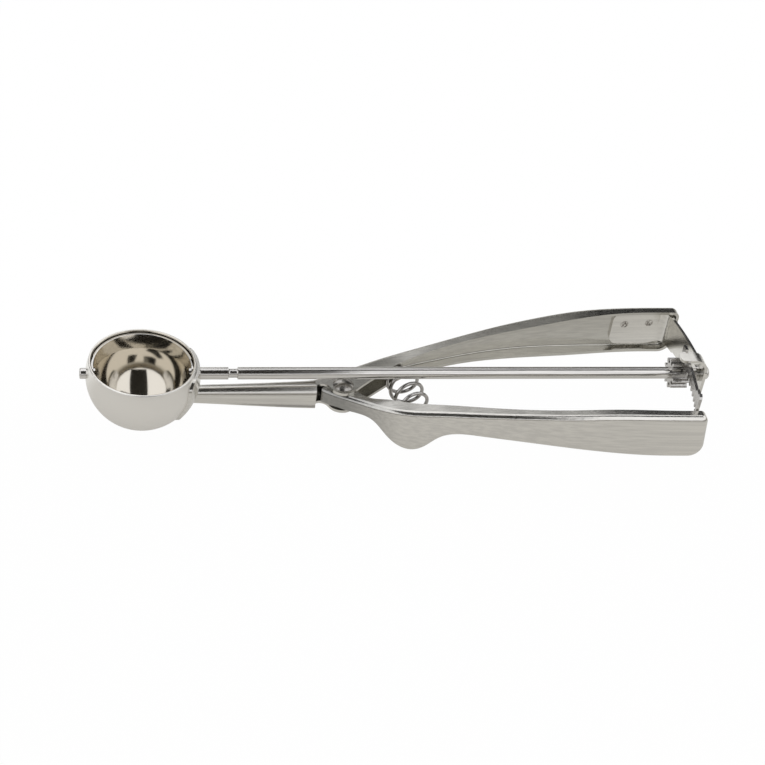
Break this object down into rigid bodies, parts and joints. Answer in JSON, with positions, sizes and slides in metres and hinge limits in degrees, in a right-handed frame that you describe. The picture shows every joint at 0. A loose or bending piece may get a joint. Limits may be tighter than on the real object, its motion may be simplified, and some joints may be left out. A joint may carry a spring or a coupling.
{
  "type": "lever ice cream scoop",
  "caption": "Squeeze-handle ice cream scoop: a bowl on a forked pair of sprung grips, whose rack and pinion turn a sweep blade inside the bowl",
  "frame": {"origin": "middle of the bounding box in plan, level with the lowest point of the lever's finger lobe", "axes": "+X along the drive rod from the bowl to the grip ends, +Y towards the fixed grip, +Z out of the bowl's mouth"},
  "size_m": [0.21, 0.0602, 0.0304],
  "materials": {
    "spun_steel": "satin outside, mirror polished inside",
    "pressed_steel": "tumble polished stainless sheet",
    "turned_steel": "bright drawn stainless bar",
    "strip_steel": "bright stainless strip",
    "milled_steel": "as cut stainless teeth",
    "spring_wire": "bright stainless spring wire"
  },
  "bodies": {
    "frame": {"bowl": "spun_steel", "bowl_saddle": "pressed_steel", "fixed_arm": "pressed_steel", "pivot_rivet": "turned_steel", "gear_bracket": "pressed_steel", "return_spring": "spring_wire"},
    "lever": {"moving_arm": "pressed_steel", "rack": "milled_steel"},
    "sweep": {"drive_rod": "turned_steel", "sweep_blade": "strip_steel", "front_pin": "turned_steel", "pinion": "milled_steel", "end_washer": "turned_steel"}
  },
  "joints": [
    {"name": "lever_squeeze", "type": "hinge", "parent": "frame", "child": "lever", "pos_m": [-0.01985, -0.00001, 0.01096], "axis": [0, 0, 1], "range_deg": [0, 7.05], "stiffness_Nm_per_rad": 4, "springref_deg": -6.88, "deforming": ["return_spring"]},
    {"name": "blade_sweep", "type": "hinge", "parent": "frame", "child": "sweep", "pos_m": [-0.08535, -0.00001, 0.01991], "axis": [1, 0, 0], "range_deg": [-187, 0]}
  ],
  "couplings": [
    {"joint": "blade_sweep", "follows": "lever_squeeze", "ratio": -26.437}
  ]
}
